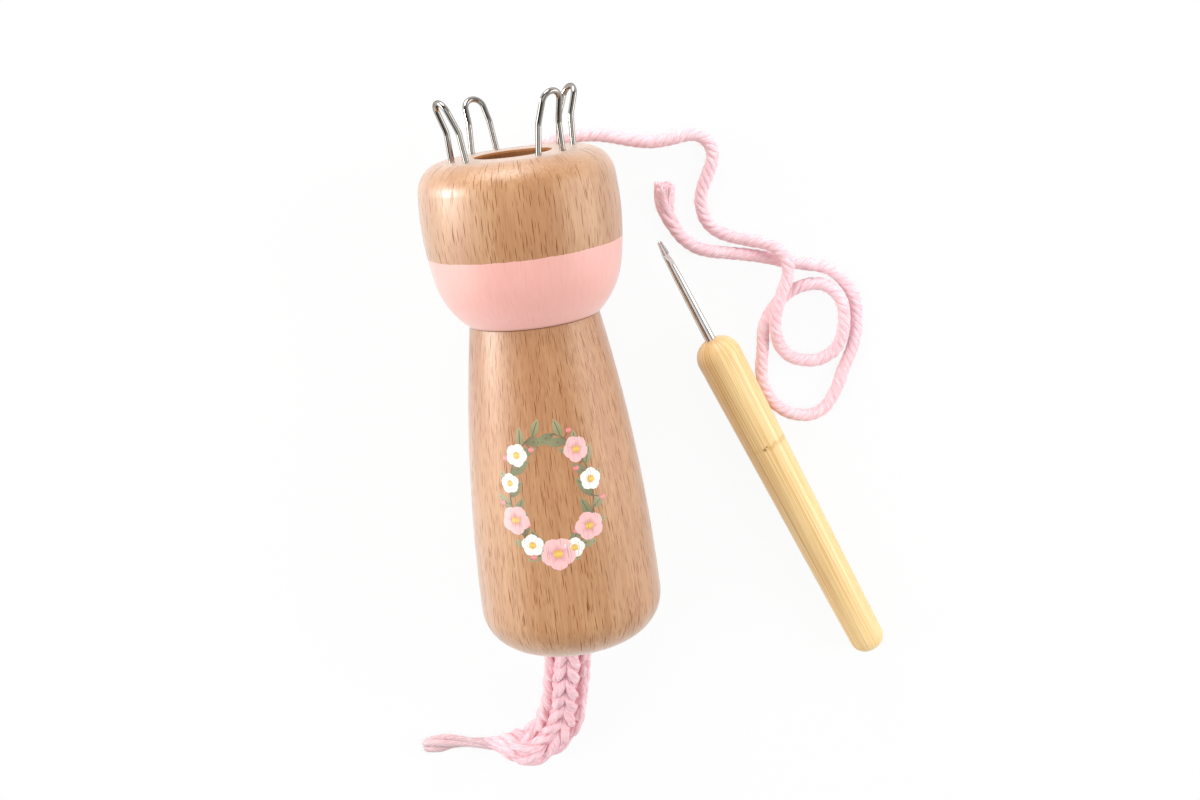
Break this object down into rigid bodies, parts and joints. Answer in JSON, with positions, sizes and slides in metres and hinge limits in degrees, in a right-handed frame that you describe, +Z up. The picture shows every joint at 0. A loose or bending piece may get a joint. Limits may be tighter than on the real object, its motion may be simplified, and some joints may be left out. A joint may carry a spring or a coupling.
{
  "type": "spool knitting doll with hook",
  "caption": "Turned beech spool knitter with a through bore, wire loops on its head, a knitted cord in the bore, loose yarn and a bamboo-handled steel hook.",
  "frame": {"origin": "centre of the doll's flat base, on the axis of the bore", "axes": "+Y along the doll from its base towards the wire loops, +Z up from the table it lies on, +X towards the hook"},
  "size_m": [0.136, 0.1873, 0.05],
  "materials": {
    "painted_beech": "satin varnish, lower band painted pink",
    "beech": "satin varnish, printed flowers",
    "plated_wire": "nickel-plated, bright",
    "yarn": "soft, twisted, slightly fuzzy",
    "bamboo": "smooth, lightly oiled",
    "hook_steel": "polished"
  },
  "bodies": {
    "doll": {"head": "painted_beech", "trunk": "beech", "wire_loop_1": "plated_wire", "wire_loop_2": "plated_wire", "wire_loop_3": "plated_wire", "wire_loop_4": "plated_wire", "knitted_cord": "yarn", "working_yarn": "yarn"},
    "hook_tool": {"hook_handle": "bamboo", "hook_shank": "hook_steel"}
  },
  "joints": [
    {"name": "tool_lift", "type": "slide", "parent": "doll", "child": "hook_tool", "axis": [0, 0, 1], "range_m": [0, 0.08]}
  ]
}
